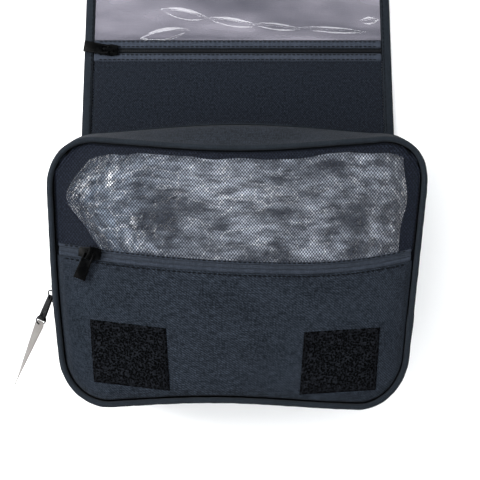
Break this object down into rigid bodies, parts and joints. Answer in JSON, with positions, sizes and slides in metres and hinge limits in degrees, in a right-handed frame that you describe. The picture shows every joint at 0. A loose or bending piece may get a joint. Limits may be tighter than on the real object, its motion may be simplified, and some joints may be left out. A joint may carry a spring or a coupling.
{
  "type": "hanging toiletry bag",
  "caption": "Padded box pouch with a net-fronted pocket, a fold-over flap with net and clear pockets, and a swivel hook to hang it opened out.",
  "frame": {"origin": "middle of the pouch's flat back, on the face it lies on", "axes": "+X to the right of the front, +Y from the pouch towards the hook, +Z out of the front"},
  "size_m": [0.2904, 0.5377, 0.0882],
  "materials": {
    "body_cloth": "heathered slate twill, matt",
    "trim_tape": "plain woven tape, matt",
    "lining": "thin smooth lining cloth",
    "foam": "thin padding foam",
    "net": "dark navy warp-knit net",
    "zip_coil": "black nylon coil",
    "hook_and_loop": "black hook and loop tape",
    "clear_vinyl": "clear soft vinyl with a slight haze",
    "packing_film": "thin crumpled translucent film",
    "black_metal": "glossy black lacquer",
    "black_plastic": "black moulded nylon, satin",
    "tag_cord": "thin black cord",
    "tag_card": "blank grey satin card"
  },
  "bodies": {
    "pouch_back": {"back_panel": "body_cloth", "back_panel_foam": "foam", "back_panel_lining": "lining", "back_piping": "trim_tape", "back_gusset": "body_cloth", "back_gusset_lining": "lining", "main_zip_back_tape": "trim_tape", "main_zip_back_coil": "zip_coil", "lower_gusset_back": "body_cloth", "flap_root_panel": "body_cloth"},
    "front_lid": {"front_gusset": "body_cloth", "front_gusset_lining": "lining", "main_zip_front_tape": "trim_tape", "main_zip_front_coil": "zip_coil", "lower_gusset_front": "body_cloth", "front_piping": "trim_tape", "pocket_divider": "lining", "pocket_packing_film": "packing_film", "front_zip_tape": "trim_tape", "front_zip_coil": "zip_coil", "mesh_window_hem": "trim_tape", "front_pocket_welt": "body_cloth", "mesh_window": "net", "front_lower_panel": "body_cloth", "hook_patch_left": "hook_and_loop", "hook_patch_right": "hook_and_loop"},
    "front_slider": {"front_slider": "black_metal"},
    "front_pull": {"front_pull_tab": "black_metal"},
    "main_slider": {"main_slider": "black_metal"},
    "main_pull": {"main_pull_tab": "black_metal", "tag_loop": "tag_cord"},
    "tag": {"blank_tag": "tag_card"},
    "flap_lower": {"flap_lower_panel": "body_cloth", "flap_lower_binding_left": "trim_tape", "flap_lower_binding_right": "trim_tape", "net_pocket": "net", "net_pocket_hem": "trim_tape", "flap_zip_tape": "trim_tape", "flap_zip_coil": "zip_coil", "clear_pocket_band": "trim_tape", "clear_pocket_lower": "clear_vinyl"},
    "flap_slider": {"flap_slider": "black_metal"},
    "flap_pull": {"flap_pull_tab": "black_metal"},
    "flap_upper": {"flap_upper_panel": "body_cloth", "flap_upper_binding": "trim_tape", "clear_pocket_upper": "clear_vinyl", "clear_pocket_hem": "trim_tape", "clear_zip_tape": "trim_tape", "clear_zip_coil": "zip_coil", "flap_end_band": "trim_tape", "loop_patch_left": "hook_and_loop", "loop_patch_right": "hook_and_loop", "hook_strap": "trim_tape"},
    "clear_slider": {"clear_pocket_slider": "black_metal"},
    "clear_pull": {"clear_pocket_pull_tab": "black_metal"},
    "hook_frame": {"hook_frame": "black_plastic"},
    "hook": {"hook": "black_plastic"}
  },
  "joints": [
    {"name": "front_lid_open", "type": "hinge", "parent": "pouch_back", "child": "front_lid", "pos_m": [0, -0.0935, 0.0446], "axis": [1, 0, 0], "range_deg": [0, 150]},
    {"name": "flap_root_fold", "type": "hinge", "parent": "pouch_back", "child": "flap_lower", "pos_m": [0, 0.106, 0.006], "axis": [1, 0, 0], "range_deg": [0, 90]},
    {"name": "flap_middle_fold", "type": "hinge", "parent": "flap_lower", "child": "flap_upper", "pos_m": [0, 0.191, 0.006], "axis": [1, 0, 0], "range_deg": [0, 90]},
    {"name": "front_zip_run", "type": "hinge", "parent": "front_lid", "child": "front_slider", "pos_m": [0.01686, 0.66879, -0.19223], "axis": [0.0107, 0.386, 0.9225], "range_deg": [0, 15.1]},
    {"name": "front_pull_lift", "type": "hinge", "parent": "front_slider", "child": "front_pull", "pos_m": [-0.09839, 0.01329, 0.08621], "axis": [-0.9273, 0.3713, -0.0483], "range_deg": [0, 170]},
    {"name": "main_zip_run", "type": "slide", "parent": "pouch_back", "child": "main_slider", "axis": [-0.0729, 0.9973, 0], "range_m": [-0.029, 0.065]},
    {"name": "main_pull_lift", "type": "hinge", "parent": "main_slider", "child": "main_pull", "pos_m": [-0.1328, -0.01776, 0.04547], "axis": [-0.3047, -0.0223, -0.9522], "range_deg": [0, 140]},
    {"name": "tag_swing", "type": "hinge", "parent": "main_pull", "child": "tag", "pos_m": [-0.14031, -0.03759, 0.04834], "axis": [-0.3047, -0.0223, -0.9522], "range_deg": [0, 35]},
    {"name": "flap_zip_run", "type": "slide", "parent": "flap_lower", "child": "flap_slider", "axis": [1, 0, 0], "range_m": [0, 0.19]},
    {"name": "flap_pull_lift", "type": "hinge", "parent": "flap_slider", "child": "flap_pull", "pos_m": [-0.09778, 0.1656, 0.00795], "axis": [0.1564, 0.9877, 0], "range_deg": [0, 170]},
    {"name": "clear_zip_run", "type": "slide", "parent": "flap_upper", "child": "clear_slider", "axis": [1, 0, 0], "range_m": [0, 0.19]},
    {"name": "clear_pull_lift", "type": "hinge", "parent": "clear_slider", "child": "clear_pull", "pos_m": [-0.0964, 0.321, 0.00795], "axis": [0.1564, 0.9877, 0], "range_deg": [0, 170]},
    {"name": "hook_fold", "type": "hinge", "parent": "flap_upper", "child": "hook_frame", "pos_m": [0, 0.4, 0.0046], "axis": [1, 0, 0], "range_deg": [0, 95]},
    {"name": "hook_swivel", "type": "hinge", "parent": "hook_frame", "child": "hook", "pos_m": [0, 0.4084, 0.0046], "axis": [0, 1, 0], "continuous": true}
  ]
}
